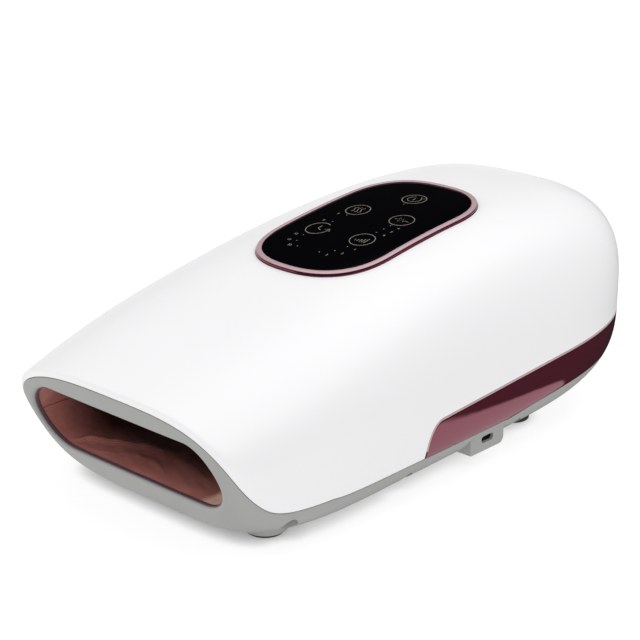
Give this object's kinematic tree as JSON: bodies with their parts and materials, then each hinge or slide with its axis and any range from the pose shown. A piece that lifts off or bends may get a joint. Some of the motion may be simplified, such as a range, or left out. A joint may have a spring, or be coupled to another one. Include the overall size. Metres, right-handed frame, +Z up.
{
  "type": "hand massager",
  "caption": "Wedge-shaped hand massager: the hand goes in at the low front, and air bags press plates on it inside a soft lining.",
  "frame": {"origin": "on the surface that the feet stand on, under the middle of the object's bounding box", "axes": "+Z up, -Y out of the hand opening, +Y towards the high rear, +X towards the side with the charging port"},
  "size_m": [0.1688, 0.3216, 0.1138],
  "materials": {
    "top_shell": "glossy white",
    "bottom_shell": "satin grey",
    "rear_trim": "mirror, rose",
    "panel_ring": "polished rose gold",
    "panel_glass": "glossy black, opaque",
    "light_guide": "milky",
    "touch_board": "solder mask",
    "case_screw": "zinc plated",
    "foot": "matte",
    "usb_socket": "plain",
    "charge_board": "solder mask",
    "mouth_frame": "satin",
    "sleeve_lower_panel": "fine weave",
    "sleeve_upper_panel": "fine weave",
    "lower_tray": "moulded",
    "upper_frame": "moulded",
    "lower_airbag": "film",
    "upper_airbag_front": "film",
    "upper_airbag_rear": "film",
    "palm_plate": "moulded",
    "press_plate": "moulded",
    "heating_film": "polyimide film",
    "rear_deck": "moulded",
    "pump_motor": "drawn can",
    "pump_shaft": "ground",
    "pump_head": "moulded",
    "pump_cradle": "matte",
    "battery_cell": "shrink sleeve",
    "battery_holder": "moulded",
    "valve_manifold": "moulded",
    "valve_body": "moulded",
    "valve_plunger": "ground",
    "valve_spring": "wire",
    "main_board": "solder mask",
    "hose": "silicone"
  },
  "bodies": {
    "casing": {"top_shell": "top_shell", "bottom_shell": "bottom_shell", "rear_trim": "rear_trim", "panel_ring": "panel_ring", "panel_glass": "panel_glass", "light_guide": "light_guide", "touch_board": "touch_board", "case_screw_1": "case_screw", "case_screw_2": "case_screw", "case_screw_3": "case_screw", "case_screw_4": "case_screw", "case_screw_5": "case_screw", "case_screw_6": "case_screw", "case_screw_7": "case_screw", "case_screw_8": "case_screw", "foot_front_right": "foot", "foot_front_left": "foot", "foot_rear_right": "foot", "foot_rear_left": "foot", "usb_socket": "usb_socket", "charge_board": "charge_board", "mouth_frame": "mouth_frame", "sleeve_lower_panel": "sleeve_lower_panel", "sleeve_upper_panel": "sleeve_upper_panel", "lower_tray": "lower_tray", "upper_frame": "upper_frame", "lower_airbag": "lower_airbag", "upper_airbag_front": "upper_airbag_front", "upper_airbag_rear": "upper_airbag_rear", "rear_deck": "rear_deck", "pump_motor": "pump_motor", "pump_head": "pump_head", "pump_cradle": "pump_cradle", "battery_holder": "battery_holder", "battery_cell_1": "battery_cell", "battery_cell_2": "battery_cell", "valve_manifold": "valve_manifold", "valve_a_body": "valve_body", "valve_b_body": "valve_body", "valve_a_spring": "valve_spring", "valve_b_spring": "valve_spring", "main_board": "main_board", "hose_feed": "hose", "hose_upper": "hose", "hose_lower": "hose", "hose_link": "hose"},
    "palm_press": {"palm_plate": "palm_plate"},
    "press_head": {"press_plate": "press_plate", "heating_film": "heating_film"},
    "pump_rotor": {"pump_shaft": "pump_shaft"},
    "valve_a_core": {"valve_a_plunger": "valve_plunger"},
    "valve_b_core": {"valve_b_plunger": "valve_plunger"}
  },
  "joints": [
    {"name": "palm_lift", "type": "slide", "parent": "casing", "child": "palm_press", "axis": [0, 0, 1], "range_m": [0, 0.006], "deforming": ["lower_airbag", "sleeve_lower_panel"]},
    {"name": "press_drop", "type": "slide", "parent": "casing", "child": "press_head", "axis": [0, 0, -1], "range_m": [0, 0.008], "stiffness_N_per_m": 150, "springref_m": -0.006, "deforming": ["upper_airbag_front", "upper_airbag_rear", "sleeve_upper_panel"]},
    {"name": "pump_spin", "type": "hinge", "parent": "casing", "child": "pump_rotor", "pos_m": [-0.03, 0.067, 0.0421], "axis": [1, 0, 0], "continuous": true},
    {"name": "valve_a_stroke", "type": "slide", "parent": "casing", "child": "valve_a_core", "axis": [0, 0, -1], "range_m": [0, 0.0015], "stiffness_N_per_m": 100, "springref_m": -0.001, "deforming": ["valve_a_spring"]},
    {"name": "valve_b_stroke", "type": "slide", "parent": "casing", "child": "valve_b_core", "axis": [0, 0, -1], "range_m": [0, 0.0015], "stiffness_N_per_m": 100, "springref_m": -0.001, "deforming": ["valve_b_spring"]}
  ]
}
